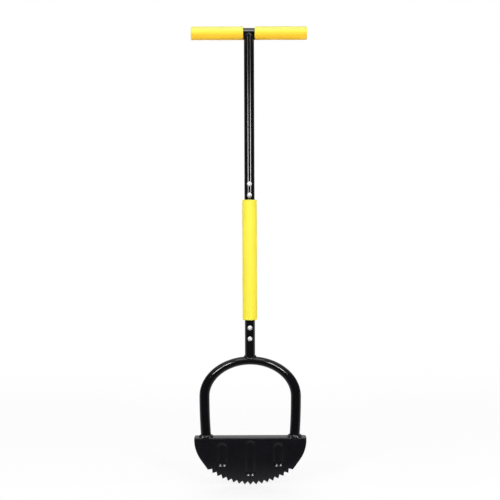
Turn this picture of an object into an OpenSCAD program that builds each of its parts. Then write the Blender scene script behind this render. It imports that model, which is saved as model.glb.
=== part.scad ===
// Half moon edger: a T handled lawn edging tool with a foot step and a toothed blade.
// Sizes are in millimetres. The handle stands along +Z, +X is the tool's right arm and
// the blade's front face looks towards -Y. The origin is the lowest tooth tip, straight
// below the handle's axis.

/* [Handle tubes] */
// Outside diameter of every tube
tube_d = 22.2; // [18:0.1:26]
// Wall of every tube
tube_wall = 1.2; // [0.8:0.1:2]
// Upper tube, from its lower end to the axis of the cross tube
upper_l = 361.6; // [250:1:500]
// Middle tube, between the two tubes that it plugs into
middle_l = 269; // [180:1:400]
// Swaged spigot at each end of the middle tube
spigot_l = 46; // [40:1:70]
// Stem, from the centre line of the fork's crown to its upper end
stem_l = 82.5; // [70:0.5:140]
// Cross tube with both end plugs
bar_l = 251.6; // [180:1:360]

/* [Foam grips] */
// Foam thickness on the cross tube
bar_grip_wall = 3.5; // [2.5:0.1:8]
// Foam thickness on the middle tube
middle_grip_wall = 5.1; // [2.5:0.1:8]
// Space between the upper tube's side and each grip of the cross tube
bar_grip_clear = 1.2; // [0.5:0.1:10]
// Bare tube left below the middle grip
middle_bare_l = 7; // [1:0.5:40]
// Rounding at the ends of the grips
grip_edge_r = 1.8; // [0.5:0.1:2.4]

/* [Joint screws] */
// Shank diameter of the through screws
screw_d = 6; // [4:0.5:8]
// First screw, from the end of the tube that it clamps
screw_edge = 10; // [8:0.5:14]
// Distance between the two screws of a joint
screw_pitch = 24; // [16:0.5:30]
// Diameter of the button head
head_d = 10.5; // [9.5:0.1:14]
// Height of the button head
head_h = 3.3; // [2.4:0.1:5]
// Width across the flats of the head's hex socket
socket_af = 4; // [2.5:0.1:5]
// Width across the flats of the lock nut
nut_af = 10; // [10:0.1:13]
// Height of the nut's hexagon
nut_hex_h = 4.2; // [3:0.1:6]
// Height of the collar that holds the nylon ring
nut_collar_h = 1.9; // [1.5:0.1:3]

/* [Fork] */
// Distance of each leg's centre from the end of the step
foot_inset = 25.5; // [20:0.5:45]
// How far each leg leans outwards, from the step to the spring of the arch
leg_flare = 3.25; // [0:0.05:12]
// Height of the legs, from the step to the spring of the arch
leg_h = 88.8; // [60:1:140]
// Rise of the arch's centre line above its spring
arch_rise = 78.8; // [60:0.1:110]
// Height of the tube's section at the crown, where the bend flattens it
crown_t = 18; // [14:0.1:20]

/* [Blade] */
// Width of the blade and its step
blade_w = 245; // [235:1:280]
// Height of the step's top above the lowest tooth tip
blade_h = 102.5; // [85:0.1:130]
// Thickness of the sheet
blade_t = 2.5; // [1.5:0.1:4]
// Depth of the step from front to back
step_depth = 30; // [28:0.5:45]
// Inside radius of the fold between blade and step
fold_r = 1; // [0.5:0.1:4]
// Rounding of the step's back corners
step_corner_r = 6; // [1:0.5:12]
// Outermost tooth tip, in from the blade's side
tip_inset = 29.7; // [24:0.1:36]
// Rise of the outermost tooth tip above the lowest one
tip_rise = 33.3; // [26:0.1:40]
// Count of the notches along the edge
notch_count = 16; // [8:1:24]
// Depth of the notches below the tooth tips
notch_depth = 7; // [3:0.1:8]
// Distance between the pressed ribs
rib_pitch = 61; // [45:0.5:66]
// Width of a rib's groove at the front face
rib_w = 22; // [12:0.5:24]
// Depth of a rib's groove
rib_depth = 3; // [1.5:0.1:4]
// Top of the middle rib, below the step
middle_rib_drop = 5.3; // [4.5:0.1:20]
// Top of each side rib, below the step
side_rib_drop = 10.3; // [5:0.1:25]
// Lower end of the middle rib, above the circle of the notch roots
middle_rib_gap = 10.7; // [5:0.1:25]
// Lower end of each side rib, above the circle of the notch roots
side_rib_gap = 14; // [5:0.1:25]

/* [Welds] */
// Radius of the bead round the T joint and the crown
bead_r = 2.2; // [1.5:0.1:3]
// Distance of that bead's centre from the tubes' skins
bead_offset = 0.6; // [0.2:0.1:1]
// Leg of the fillet at the feet of the fork
foot_weld_leg = 5.5; // [3:0.1:7]

/* [Hidden] */

$fn = 96;

// Colours of the finishes
black_coat = "#17181a";
yellow_foam = "#f8e03c";
zinc = "#d6d9dc";
nylon = "#eceff2";
black_plastic = "#222326";

// Clearances: loose push fit, foam on tube, screw in hole, thread, faces that seat, weld root
fit_gap = 0.1;
foam_gap = 0.2;
hole_gap = 0.25;
thread_gap = 0.05;
seat_gap = 0.05;
weld_gap = 0.3;
// How far a cut runs past the solid that it cuts
overrun = 5;

// Radii of the tubes and of the screw holes
tube_r = tube_d / 2;
bore_r = tube_r - tube_wall;
spigot_r = bore_r - fit_gap;
hole_r = screw_d / 2 + hole_gap;

// Levels, from the tooth tips up
z_step = blade_h;
z_spring = z_step + leg_h;
z_crown = z_spring + arch_rise;
z_stem_top = z_crown + stem_l;
z_middle_top = z_stem_top + middle_l;
z_bar = z_middle_top + upper_l;
upper_screws = [z_middle_top + screw_edge, z_middle_top + screw_edge + screw_pitch];
lower_screws = [z_stem_top - screw_edge, z_stem_top - screw_edge - screw_pitch];

// End plug: head that covers the tube's end, and the cup inside the tube
plug_head_t = 2;
plug_depth = 16;
plug_wall = 1.6;
plug_chamfer = 0.7;

// Screw details
head_rim = 0.5;
socket_depth = 2;
screw_chamfer = 0.6;
screw_past_nut = 1.5;
nut_shoulder = 0.3;
nut_collar_d = nut_af - 2 * nut_shoulder;
collar_lip = 0.7;
ring_recess = 0.3;
ring_h = nut_collar_h - ring_recess;

// Fork: half spans, and how finely the bent tube is drawn
foot_half = blade_w / 2 - foot_inset;
fork_half = foot_half + leg_flare;
leg_lean = atan2(fork_half - foot_half, leg_h);
fork_sides = 28;
arch_step = 6;
crown_patch_a = 18;

// Blade: faces of the sheet, and its outline of side arcs, flanks and a circle of tooth tips
y_front = -step_depth / 2;
fold_out_r = fold_r + blade_t;
arc_z = z_step - fold_out_r;
tip_half = blade_w / 2 - tip_inset;
edge_r = (tip_half ^ 2 + tip_rise ^ 2) / (2 * tip_rise);
edge_a = asin(tip_half / edge_r);
notch_a = 2 * edge_a / notch_count;
root_r = edge_r - notch_depth;

// Side arc: its radius, and the angle where the straight flank leaves it for the first tooth
side_arc_share = 0.77;
flank_drop = arc_z - tip_rise;
side_r = min(side_arc_share * arc_z, (flank_drop ^ 2 + tip_inset ^ 2) / (2 * tip_inset));
side_x = blade_w / 2 - side_r;
flank_in = side_r - tip_inset;
flank_a = atan2(flank_drop, flank_in) - acos(min(1, side_r / norm([flank_in, flank_drop])));
side_arc_steps = 16;

// Rib: radius of the groove, and the distance of its axis in front of the sheet
groove_r = (rib_w ^ 2 / 4 + rib_depth ^ 2) / (2 * rib_depth);
groove_y = y_front - (groove_r - rib_depth);

// Weld bead: its path's radius, how finely it is drawn and how wide it rounds the ears
bead_path_r = tube_r + bead_offset;
bead_steps = 48;
bead_sides = 10;
bead_delta = 0.5;
ear_share = 1.5;
ear_round = ear_share * bead_r;
weld_reach = bead_offset + bead_r;

// Points that close around a hollow or solid skin, ring by ring
module loft(rings, looped) {
    count = len(rings);
    sides = len(rings[0]);
    skin = [
        for (i = [0 : looped ? count - 1 : count - 2], k = [0 : sides - 1])
            let (j = (i + 1) % count, m = (k + 1) % sides)
                each [
                    [i * sides + k, j * sides + k, j * sides + m],
                    [i * sides + k, j * sides + m, i * sides + m]
                ]
    ];
    caps = looped ? [] : [
        [for (k = [0 : sides - 1]) k],
        [for (k = [sides - 1 : -1 : 0]) (count - 1) * sides + k]
    ];
    polyhedron([for (ring = rings) each ring], concat(skin, caps));
}

// Straight round tube that stands on the origin
module tube(length) {
    difference() {
        cylinder(r = tube_r, h = length);
        translate([0, 0, -overrun])
            cylinder(r = bore_r, h = length + 2 * overrun);
    }
}

// Cuts from front to back for the screws of a joint
module screw_holes(levels) {
    for (z = levels)
        translate([0, -tube_d, z])
            rotate([-90, 0, 0])
                cylinder(r = hole_r, h = 2 * tube_d);
}

// Cross tube of the T handle
module t_bar() {
    length = bar_l - 2 * plug_head_t;
    color(black_coat)
        translate([-length / 2, 0, z_bar])
            rotate([0, 90, 0])
                tube(length);
}

// Push-in plug: a head with a chamfered rim and a hollow cup behind it
module end_plug() {
    cup_r = bore_r - fit_gap;
    color(black_plastic)
        rotate_extrude()
            polygon([
                [0, plug_head_t],
                [tube_r - plug_chamfer, plug_head_t],
                [tube_r, plug_head_t - plug_chamfer],
                [tube_r, 0],
                [cup_r, 0],
                [cup_r, plug_chamfer - plug_depth],
                [cup_r - plug_chamfer, -plug_depth],
                [cup_r - plug_wall, -plug_depth],
                [cup_r - plug_wall, 0],
                [0, 0]
            ]);
}

module left_end_plug() {
    translate([plug_head_t - bar_l / 2, 0, z_bar])
        rotate([0, -90, 0])
            end_plug();
}

module right_end_plug() {
    translate([bar_l / 2 - plug_head_t, 0, z_bar])
        rotate([0, 90, 0])
            end_plug();
}

// Foam sleeve with rounded ends, from the origin up
module foam_sleeve(length, wall) {
    in_r = tube_r + foam_gap;
    out_r = tube_r + wall;
    corner = [for (a = [0 : 15 : 90]) grip_edge_r * [1 - cos(a), 1 - sin(a)]];
    lower = [for (i = [len(corner) - 1 : -1 : 0]) [out_r - corner[i].x, corner[i].y]];
    upper = [for (c = corner) [out_r - c.x, length - c.y]];
    rotate_extrude()
        polygon(concat([[in_r, 0]], lower, upper, [[in_r, length]]));
}

// Foam on the right arm of the cross tube, pressed back by the weld under the bar
module right_grip() {
    start = tube_r + bar_grip_clear;
    relief_r = tube_r + weld_reach + foam_gap;
    color(yellow_foam)
        difference() {
            translate([start, 0, z_bar])
                rotate([0, 90, 0])
                    foam_sleeve(bar_l / 2 - start, bar_grip_wall);
            translate([0, 0, z_bar - tube_d])
                cylinder(r = relief_r, h = tube_d);
        }
}

module left_grip() {
    mirror([1, 0, 0])
        right_grip();
}

// Upper tube, coped at the top to the cross tube
module upper_tube() {
    color(black_coat)
        difference() {
            translate([0, 0, z_middle_top])
                tube(upper_l);
            translate([-tube_d, 0, z_bar])
                rotate([0, 90, 0])
                    cylinder(r = tube_r + weld_gap, h = 2 * tube_d);
            screw_holes(upper_screws);
        }
}

// Height of the T joint's bead, and of the crown's bead, at an angle round the handle's axis
function handle_bead_z(a) = z_bar - norm([bead_path_r * cos(a), ear_round]);
function crown_bead_z(a) =
    let (x = bead_path_r * cos(a) / fork_half, y = bead_path_r * sin(a) / (tube_d - crown_t / 2))
        z_spring + arch_rise * sqrt(1 - x ^ 2) + crown_t / 2 * sqrt(max(0, 1 - y ^ 2)) + bead_offset;

// Round section of a bead at one angle: square to a path with that height and slope
function bead_ring(a, z, slope) =
    let (
        out = [cos(a), sin(a), 0],
        along = [-sin(a), cos(a), slope],
        across = cross(along / norm(along), out)
    )
        [
            for (k = [0 : bead_sides - 1])
                let (b = 360 * k / bead_sides)
                    bead_path_r * out + [0, 0, z] + bead_r * (cos(b) * out + sin(b) * across)
        ];

// Slope of a bead per length round the handle's axis, from its heights just before and after
function bead_slope(before, after) = (after - before) / (2 * bead_delta * PI / 180 * bead_path_r);

// Weld round the T joint, seated on both tubes
module handle_weld() {
    rings = [
        for (i = [0 : bead_steps - 1])
            let (a = 360 * i / bead_steps)
                bead_ring(a, handle_bead_z(a),
                    bead_slope(handle_bead_z(a - bead_delta), handle_bead_z(a + bead_delta)))
    ];
    color(black_coat)
        difference() {
            loft(rings, true);
            translate([-tube_d, 0, z_bar])
                rotate([0, 90, 0])
                    cylinder(r = tube_r + seat_gap, h = 2 * tube_d);
            translate([0, 0, z_bar - 2 * tube_d])
                cylinder(r = tube_r + 2 * seat_gap, h = 2 * tube_d);
        }
}

// Middle tube with a swaged spigot at each end
module middle_tube() {
    spigot_bore_r = spigot_r - tube_wall;
    color(black_coat)
        difference() {
            translate([0, 0, z_stem_top])
                rotate_extrude()
                    polygon([
                        [spigot_bore_r, -spigot_l],
                        [spigot_r, -spigot_l],
                        [spigot_r, 0],
                        [tube_r, 0],
                        [tube_r, middle_l],
                        [spigot_r, middle_l],
                        [spigot_r, middle_l + spigot_l],
                        [spigot_bore_r, middle_l + spigot_l],
                        [spigot_bore_r, middle_l - tube_wall],
                        [bore_r, middle_l - 2 * tube_wall],
                        [bore_r, 2 * tube_wall],
                        [spigot_bore_r, tube_wall]
                    ]);
            screw_holes(upper_screws);
            screw_holes(lower_screws);
        }
}

module middle_grip() {
    color(yellow_foam)
        translate([0, 0, z_stem_top + middle_bare_l])
            foam_sleeve(middle_l - middle_bare_l, middle_grip_wall);
}

// Button head screw along +Z, with the underside of its head at the origin
module button_screw() {
    shank_l = 2 * (tube_r + seat_gap) + nut_hex_h + nut_collar_h + screw_past_nut;
    crown_h = head_h - head_rim;
    dome_r = (head_d ^ 2 / 4 + crown_h ^ 2) / (2 * crown_h);
    difference() {
        union() {
            intersection() {
                translate([0, 0, -head_h])
                    cylinder(d = head_d, h = head_h);
                translate([0, 0, dome_r - head_h])
                    sphere(r = dome_r);
            }
            translate([0, 0, -head_rim])
                cylinder(d = screw_d, h = head_rim + shank_l - screw_chamfer);
            translate([0, 0, shank_l - screw_chamfer])
                cylinder(d1 = screw_d, d2 = screw_d - 2 * screw_chamfer, h = screw_chamfer);
        }
        translate([0, 0, -head_h - overrun])
            cylinder(d = socket_af / cos(30), h = overrun + socket_depth, $fn = 6);
    }
}

// Lock nut that stands on the origin: a hexagon and a collar with a recess for its ring
module lock_nut() {
    difference() {
        union() {
            cylinder(d = nut_af / cos(30), h = nut_hex_h, $fn = 6);
            translate([0, 0, nut_hex_h])
                cylinder(d = nut_collar_d, h = nut_collar_h);
        }
        translate([0, 0, -overrun])
            cylinder(r = screw_d / 2 + thread_gap, h = overrun + nut_hex_h + nut_collar_h + overrun);
        translate([0, 0, nut_hex_h])
            cylinder(d = nut_collar_d - 2 * collar_lip, h = nut_collar_h + overrun);
    }
}

// Nylon ring in the collar of a lock nut
module nut_ring() {
    translate([0, 0, nut_hex_h])
        difference() {
            cylinder(r = nut_collar_d / 2 - collar_lip - thread_gap, h = ring_h);
            translate([0, 0, -overrun])
                cylinder(r = screw_d / 2 + thread_gap, h = ring_h + 2 * overrun);
        }
}

// Places a fastener at each level: from the front skin, or from the back skin, towards the back
module from_front(levels) {
    for (z = levels)
        translate([0, -tube_r - seat_gap, z])
            rotate([-90, 0, 0])
                children();
}

module from_back(levels) {
    for (z = levels)
        translate([0, tube_r + seat_gap, z])
            rotate([-90, 0, 0])
                children();
}

module upper_joint_bolts() {
    color(zinc)
        from_front(upper_screws)
            button_screw();
}

module upper_joint_nuts() {
    color(zinc)
        from_back(upper_screws)
            lock_nut();
}

module upper_nut_rings() {
    color(nylon)
        from_back(upper_screws)
            nut_ring();
}

module lower_joint_bolts() {
    color(zinc)
        from_front(lower_screws)
            button_screw();
}

module lower_joint_nuts() {
    color(zinc)
        from_back(lower_screws)
            lock_nut();
}

module lower_nut_rings() {
    color(nylon)
        from_back(lower_screws)
            nut_ring();
}

// Station of the bent tube: place on its centre line, normal in its plane, height and width.
// The arch is half an ellipse, and the bend flattens the tube most at the crown.
function arch_station(a) =
    let (
        normal = [cos(a) / fork_half, sin(a) / arch_rise],
        flat = tube_d - (tube_d - crown_t) * sin(a) ^ 2
    )
        [[fork_half * cos(a), z_spring + arch_rise * sin(a)], normal / norm(normal), flat, 2 * tube_d - flat];
function foot_station(side) = [[side * foot_half, z_step], [side, 0], tube_d, tube_d];

// Oval ring of points at a station, grown or shrunk evenly
function oval_ring(s, grow) = [
    for (k = [0 : fork_sides - 1])
        let (
            b = 360 * k / fork_sides,
            e = (s[2] / 2 + grow) * cos(b),
            f = (s[3] / 2 + grow) * sin(b)
        )
            [s[0].x + s[1].x * e, f, s[0].y + s[1].y * e]
];

// Bent tube of the fork: its skin runs out along the outside and back along the bore
module fork_tube() {
    stations = concat(
        [foot_station(1)],
        [for (a = [0 : arch_step : 180]) arch_station(a)],
        [foot_station(-1)]
    );
    last = len(stations) - 1;
    outside = [for (s = stations) oval_ring(s, 0)];
    inside = [for (i = [last : -1 : 0]) oval_ring(stations[i], -tube_wall)];
    color(black_coat)
        loft(concat(outside, inside), true);
}

// Solid stretch of the crown, grown by a gap, for what is cut to sit on it
module crown_patch(gap) {
    loft([
        for (a = [90 - crown_patch_a : arch_step : 90 + crown_patch_a])
            oval_ring(arch_station(a), gap)
    ], false);
}

// Stem between the middle tube and the fork, coped to the crown
module fork_stem() {
    color(black_coat)
        difference() {
            translate([0, 0, z_crown])
                tube(stem_l);
            crown_patch(weld_gap);
            screw_holes(lower_screws);
        }
}

// Weld round the foot of the stem, seated on stem and crown
module crown_weld() {
    rings = [
        for (i = [0 : bead_steps - 1])
            let (a = 360 * i / bead_steps)
                bead_ring(a, crown_bead_z(a),
                    bead_slope(crown_bead_z(a - bead_delta), crown_bead_z(a + bead_delta)))
    ];
    color(black_coat)
        difference() {
            loft(rings, true);
            translate([0, 0, z_crown - tube_d])
                cylinder(r = tube_r + seat_gap, h = 2 * tube_d);
            crown_patch(seat_gap);
        }
}

// Fillet round the foot of the right leg: it fills the round of the fold and ends at the step's edges
module right_leg_weld() {
    reach = tube_r + foot_weld_leg;
    color(black_coat)
        difference() {
            intersection() {
                translate([foot_half, 0, z_step])
                    union() {
                        cylinder(r1 = reach, r2 = tube_r - weld_gap, h = foot_weld_leg + weld_gap);
                        translate([0, 0, -fold_out_r])
                            cylinder(r = reach, h = fold_out_r);
                    }
                translate([foot_half - reach, y_front, z_step - fold_out_r])
                    cube([2 * reach, step_depth, fold_out_r + foot_weld_leg + weld_gap]);
            }
            translate([foot_half, 0, z_step])
                rotate([0, leg_lean, 0])
                    translate([0, 0, -tube_d])
                        cylinder(r = tube_r + seat_gap, h = 2 * tube_d);
            translate([foot_half - tube_d, 0, z_step])
                fold_envelope(2 * tube_d);
        }
}

module left_leg_weld() {
    mirror([1, 0, 0])
        right_leg_weld();
}

// Everything behind the front face and below the step's top, with the fold's round front corner
module fold_envelope(length) {
    rotate([90, 0, 90])
        linear_extrude(length) {
            translate([y_front + fold_out_r, -fold_out_r])
                circle(r = fold_out_r);
            translate([y_front, -fold_out_r - overrun])
                square([step_depth + overrun, overrun]);
            translate([y_front + fold_out_r, -fold_out_r - overrun])
                square([step_depth + overrun, fold_out_r + overrun]);
        }
}

// Section of the folded sheet: blade down at the front, step to the back
module sheet_section() {
    translate([y_front, 0])
        square([blade_t, arc_z]);
    translate([y_front + fold_out_r, z_step - blade_t])
        square([step_depth - fold_out_r, blade_t]);
    intersection() {
        translate([y_front + fold_out_r, arc_z])
            difference() {
                circle(r = fold_out_r);
                circle(r = fold_r);
            }
        translate([y_front, arc_z])
            square(fold_out_r);
    }
}

// Outline from the front: straight ends beside the fold, side arcs, flanks, and notches along the edge
module blade_outline() {
    side_arc = [
        for (i = [0 : side_arc_steps])
            let (b = flank_a * i / side_arc_steps)
                [side_x + side_r * cos(b), arc_z - side_r * sin(b)]
    ];
    teeth = [
        for (i = [0 : 2 * notch_count])
            let (b = i * notch_a / 2 - edge_a, r = i % 2 == 0 ? edge_r : root_r)
                [r * sin(b), edge_r - r * cos(b)]
    ];
    top = z_step + overrun;
    polygon(concat(
        [[-blade_w / 2, top]],
        [for (p = side_arc) [-p.x, p.y]],
        teeth,
        [for (i = [side_arc_steps : -1 : 0]) side_arc[i]],
        [[blade_w / 2, top]]
    ));
}

// Plan of the step, with rounded back corners
module step_plan() {
    y_back = y_front + step_depth;
    translate([-blade_w / 2, y_front])
        square([blade_w, step_depth - step_corner_r]);
    translate([step_corner_r - blade_w / 2, y_front])
        square([blade_w - 2 * step_corner_r, step_depth]);
    for (side = [-1, 1])
        translate([side * (blade_w / 2 - step_corner_r), y_back - step_corner_r])
            circle(r = step_corner_r);
}

// Bar with round ends, for a pressed rib
module rib_bar(r, low, high) {
    translate([0, 0, low])
        cylinder(r = r, h = high - low);
    for (z = [low, high])
        translate([0, 0, z])
            sphere(r = r);
}

// Ends of the straight part of a rib at a distance from the middle
function rib_low(x, gap) = edge_r - sqrt((root_r - gap - rib_w / 2) ^ 2 - x ^ 2);
function rib_high(drop) = z_step - drop - rib_w / 2;

// All three ribs as bars of one radius
module rib_bars(r) {
    for (side = [-1, 1])
        translate([side * rib_pitch, groove_y, 0])
            rib_bar(r, rib_low(rib_pitch, side_rib_gap), rib_high(side_rib_drop));
    translate([0, groove_y, 0])
        rib_bar(r, rib_low(0, middle_rib_gap), rib_high(middle_rib_drop));
}

// Blade and step: one notched sheet, folded at the top and pressed with three ribs
module blade() {
    color(black_coat)
        difference() {
            union() {
                intersection() {
                    translate([-blade_w / 2, 0, 0])
                        rotate([90, 0, 90])
                            linear_extrude(blade_w)
                                sheet_section();
                    translate([0, step_depth, 0])
                        rotate([90, 0, 0])
                            linear_extrude(2 * step_depth)
                                blade_outline();
                    translate([0, 0, -overrun])
                        linear_extrude(z_step + 2 * overrun)
                            step_plan();
                }
                intersection() {
                    rib_bars(groove_r + blade_t);
                    translate([-blade_w / 2, y_front + blade_t / 2, 0])
                        cube([blade_w, step_depth, z_step - blade_t / 2]);
                }
            }
            rib_bars(groove_r);
        }
}

t_bar();
left_end_plug();
right_end_plug();
left_grip();
right_grip();
upper_tube();
handle_weld();
middle_tube();
middle_grip();
upper_joint_bolts();
upper_joint_nuts();
upper_nut_rings();
lower_joint_bolts();
lower_joint_nuts();
lower_nut_rings();
fork_stem();
fork_tube();
crown_weld();
left_leg_weld();
right_leg_weld();
blade();
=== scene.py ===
# %% [markdown]
# # A half moon edger, dressed in Blender
# A half moon edger cuts a clean border along a lawn: one foot presses the toothed blade into the
# turf while both hands hold the T handle. Its solids come from a imported CAD model, and this lesson
# adds what the eye expects: soft foam, weld beads, a bent tube without facets, a pressed blade with
# rounded edges, and real finishes. The imported model is loaded first. Nothing added later may
# change the tool's size.

# %% Load the imported model
import math
import bpy
import numpy as np
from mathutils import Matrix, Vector


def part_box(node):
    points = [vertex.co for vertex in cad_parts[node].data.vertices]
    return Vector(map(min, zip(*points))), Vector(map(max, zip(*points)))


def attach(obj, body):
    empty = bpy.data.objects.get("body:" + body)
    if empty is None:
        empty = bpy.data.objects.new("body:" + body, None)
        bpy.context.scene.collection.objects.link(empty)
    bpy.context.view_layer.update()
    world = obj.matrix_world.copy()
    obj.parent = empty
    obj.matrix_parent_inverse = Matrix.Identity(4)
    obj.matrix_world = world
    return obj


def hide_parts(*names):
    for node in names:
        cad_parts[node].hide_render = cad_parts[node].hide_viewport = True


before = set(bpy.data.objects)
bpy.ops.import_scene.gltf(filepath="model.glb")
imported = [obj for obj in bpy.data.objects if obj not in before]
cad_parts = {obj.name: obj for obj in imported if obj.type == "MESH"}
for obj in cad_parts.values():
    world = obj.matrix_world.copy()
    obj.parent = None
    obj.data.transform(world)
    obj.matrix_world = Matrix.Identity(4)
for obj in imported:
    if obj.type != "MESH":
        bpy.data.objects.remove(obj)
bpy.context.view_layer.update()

# %% [markdown]
# The camera stands where the photographer's did: about two metres in front of the tool, a little
# above its middle, tipped down by less than two degrees and rolled by a fifth of one, because the
# tool leans a little in the picture. A long lens keeps the handle straight. A camera can be placed
# by eye. This one comes from a fit of known heights on the tool to their rows in the photograph,
# which is 500 pixels wide, so that every piece lands where the photograph has it.

# %% Camera
IMAGE_PX = 500
SENSOR_MM = 36.0
FOCAL_PX = 961.6
CAMERA_AT = (0.0009, -2.1, 0.565)
TIP_DOWN = math.radians(1.443)
ROLL = math.radians(0.2)

lens = bpy.data.cameras.new("camera")
lens.sensor_width = SENSOR_MM
lens.lens = FOCAL_PX / IMAGE_PX * SENSOR_MM
camera = bpy.data.objects.new("camera", lens)
camera.location = CAMERA_AT
camera.rotation_euler = (math.pi / 2 - TIP_DOWN, ROLL, 0.0)
bpy.context.scene.collection.objects.link(camera)
bpy.context.scene.camera = camera
bpy.context.scene.view_settings.view_transform = "Standard"
print("lens", round(lens.lens, 2), "mm")

# %% [markdown]
# Every finish below is a small network of shader nodes. Written out node by node, a network fills a
# page with lines that look alike. Two helpers keep it readable: one turns an sRGB hex colour, as a
# paint chart gives it, into the linear numbers that a renderer adds up, and one adds a node with
# its settings and its links in a single call.

# %% Helpers for materials
PER_METRE = 1000.0
COLOURS = {"data_type": "RGBA"}
NUMBERS = {"data_type": "FLOAT"}
SMOOTH = {"interpolation_type": "SMOOTHSTEP"}


def linear(hex_colour):
    """sRGB hex to linear RGBA.

    A value up to 0.04045 is divided by 12.92, and one above it follows the 2.4 power curve.
    """
    srgb = np.array([int(hex_colour[k:k + 2], 16) for k in (1, 3, 5)]) / 255
    rgb = np.where(srgb <= 0.04045, srgb / 12.92, ((srgb + 0.055) / 1.055) ** 2.4)
    return (*(float(x) for x in rgb), 1.0)


def add_node(tree, kind, settings={}, values={}, links={}):
    """Adds one node.

    Settings are its own properties, values fill its sockets, and links join its sockets to the
    outputs of other nodes.
    """
    made = tree.nodes.new(kind)
    for name, setting in settings.items():
        setattr(made, name, setting)
    for socket, value in values.items():
        made.inputs[socket].default_value = value
    for socket, source in links.items():
        tree.links.new(source, made.inputs[socket])
    return made


def new_material(name):
    """An empty node material, and the tree that its nodes go into."""
    material = bpy.data.materials.new(name)
    material.use_nodes = True
    material.node_tree.nodes.clear()
    return material, material.node_tree


print("black reads as", [round(x, 4) for x in linear("#0e0e11")[:3]])

# %% [markdown]
# ## Gloss black powder coat
# The steel is powder coated: dry paint is sprayed on and melted in an oven. It flows into a glossy
# skin with a very fine ripple, called orange peel, which breaks the edges of reflections. A picture
# of a real coat could be wrapped round the tubes, but it would show seams, and a noise in space has
# none. One noise gives the ripple as a bump. Real peel is about 1 mm across, which is finer than a
# pixel here, so it is drawn at 2.5 mm. A second, slower noise lets the gloss and the depth of the
# black drift a little, as they do on every cheap coat. Along cut edges the melted powder draws back
# and stays thin, and use scrapes it there. A piece can carry an attribute called wear for that:
# where it rises towards 1, the coat turns grey and dull in patches. A piece without it counts as 0.

# %% Powder coat
PEEL_MM = 2.5
PEEL_DEPTH = 0.0004
DRIFT_MM = 35.0
DRIFT_LOW, DRIFT_HIGH = 0.3, 0.7
SCRAPE_MM = 4.0
SCRAPED = "#47474b"
SCRAPED_DULL = 0.4
COAT_IOR = 1.5


def powder_coat(name, deep, light, smooth, rough, peel):
    """Black coat: colour and roughness drift with a slow noise, and a fine one gives the peel.

    Scraped places are the wear attribute times a third noise. They turn grey and rougher.
    """
    material, tree = new_material(name)
    place = add_node(tree, "ShaderNodeTexCoord").outputs["Object"]
    slow = add_node(tree, "ShaderNodeTexNoise",
                    values={"Scale": PER_METRE / DRIFT_MM, "Detail": 4.0}, links={"Vector": place})
    fine = add_node(tree, "ShaderNodeTexNoise",
                    values={"Scale": PER_METRE / PEEL_MM, "Detail": 2.0}, links={"Vector": place})
    colour = add_node(tree, "ShaderNodeMix", COLOURS,
                      {"A": linear(deep), "B": linear(light)}, {"Factor": slow.outputs["Fac"]})
    gloss = add_node(tree, "ShaderNodeMapRange",
                     values={"From Min": DRIFT_LOW, "From Max": DRIFT_HIGH,
                             "To Min": smooth, "To Max": rough},
                     links={"Value": slow.outputs["Fac"]})
    ripple = add_node(tree, "ShaderNodeBump", values={"Strength": peel, "Distance": PEEL_DEPTH},
                      links={"Height": fine.outputs["Fac"]})
    rubbed = add_node(tree, "ShaderNodeAttribute", {"attribute_name": "wear"})
    patches = add_node(tree, "ShaderNodeTexNoise",
                       values={"Scale": PER_METRE / SCRAPE_MM, "Detail": 3.0},
                       links={"Vector": place})
    wear = add_node(tree, "ShaderNodeMath", {"operation": "MULTIPLY"},
                    links={0: rubbed.outputs["Fac"], 1: patches.outputs["Fac"]})
    scraped = add_node(tree, "ShaderNodeMix", COLOURS, {"B": linear(SCRAPED)},
                       {"Factor": wear.outputs[0], "A": colour.outputs["Result"]})
    dull = add_node(tree, "ShaderNodeMath", {"operation": "MULTIPLY_ADD"}, {1: SCRAPED_DULL},
                    {0: wear.outputs[0], 2: gloss.outputs["Result"]})
    shader = add_node(tree, "ShaderNodeBsdfPrincipled", values={"IOR": COAT_IOR},
                      links={"Base Color": scraped.outputs["Result"],
                             "Roughness": dull.outputs[0], "Normal": ripple.outputs["Normal"]})
    add_node(tree, "ShaderNodeOutputMaterial", links={"Surface": shader.outputs["BSDF"]})
    return material


tube_coat = powder_coat("gloss_black_powder_coat", "#08080a", "#0f0f12", 0.065, 0.105, 0.05)
sheet_coat = powder_coat("black_powder_coat_on_sheet", "#0d0d12", "#15151a", 0.15, 0.22, 0.04)
weld_coat = powder_coat("powder_coat_over_weld", "#070709", "#101012", 0.14, 0.24, 0.08)
print("made", tube_coat.name, sheet_coat.name, weld_coat.name)

# %% [markdown]
# ## Yellow foam
# The grips are sleeves of closed cell foam. It scatters light inside its skin, so it looks soft and
# even, with hardly any gloss. Blender can follow such scattering, but at this size a matt colour
# with a trace of sheen looks the same and bakes cleanly. Burst cells pit the skin. A Voronoi
# texture scatters cells through space, and each one whose middle lies close to the skin leaves a
# small round pit there, sunk in and painted darker, as shade inside the pit. Real pits are about
# half a millimetre wide, and here they reach 1.1 mm, so that they show. A slow noise gives the
# slight mottling of dyed foam. Each piece also carries an attribute called shade, which paints
# light and shade into the colour. It runs from 0, a paler yellow painted as light from above, over
# BASE, the dye itself, to 1, a deeper yellow painted as shade.

# %% Foam
CELL_MM = 1.6
PIT_SHARE = 0.35
PIT_SHADE = 0.88
PIT_STRENGTH = 0.35
PIT_DEPTH = 0.0002
MOTTLE_MM = 18.0
BASE = 0.4
# The paler yellow is painted light from above and the deeper yellow is painted shade; the two
# mottled yellows are the dye itself.
DYED, DYED_PALER, PAINTED_TOP_LIGHT, PAINTED_UNDER_SHADE = "#f9ee38", "#fbf242", "#f6f67c", "#ffcb2c"

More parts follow.
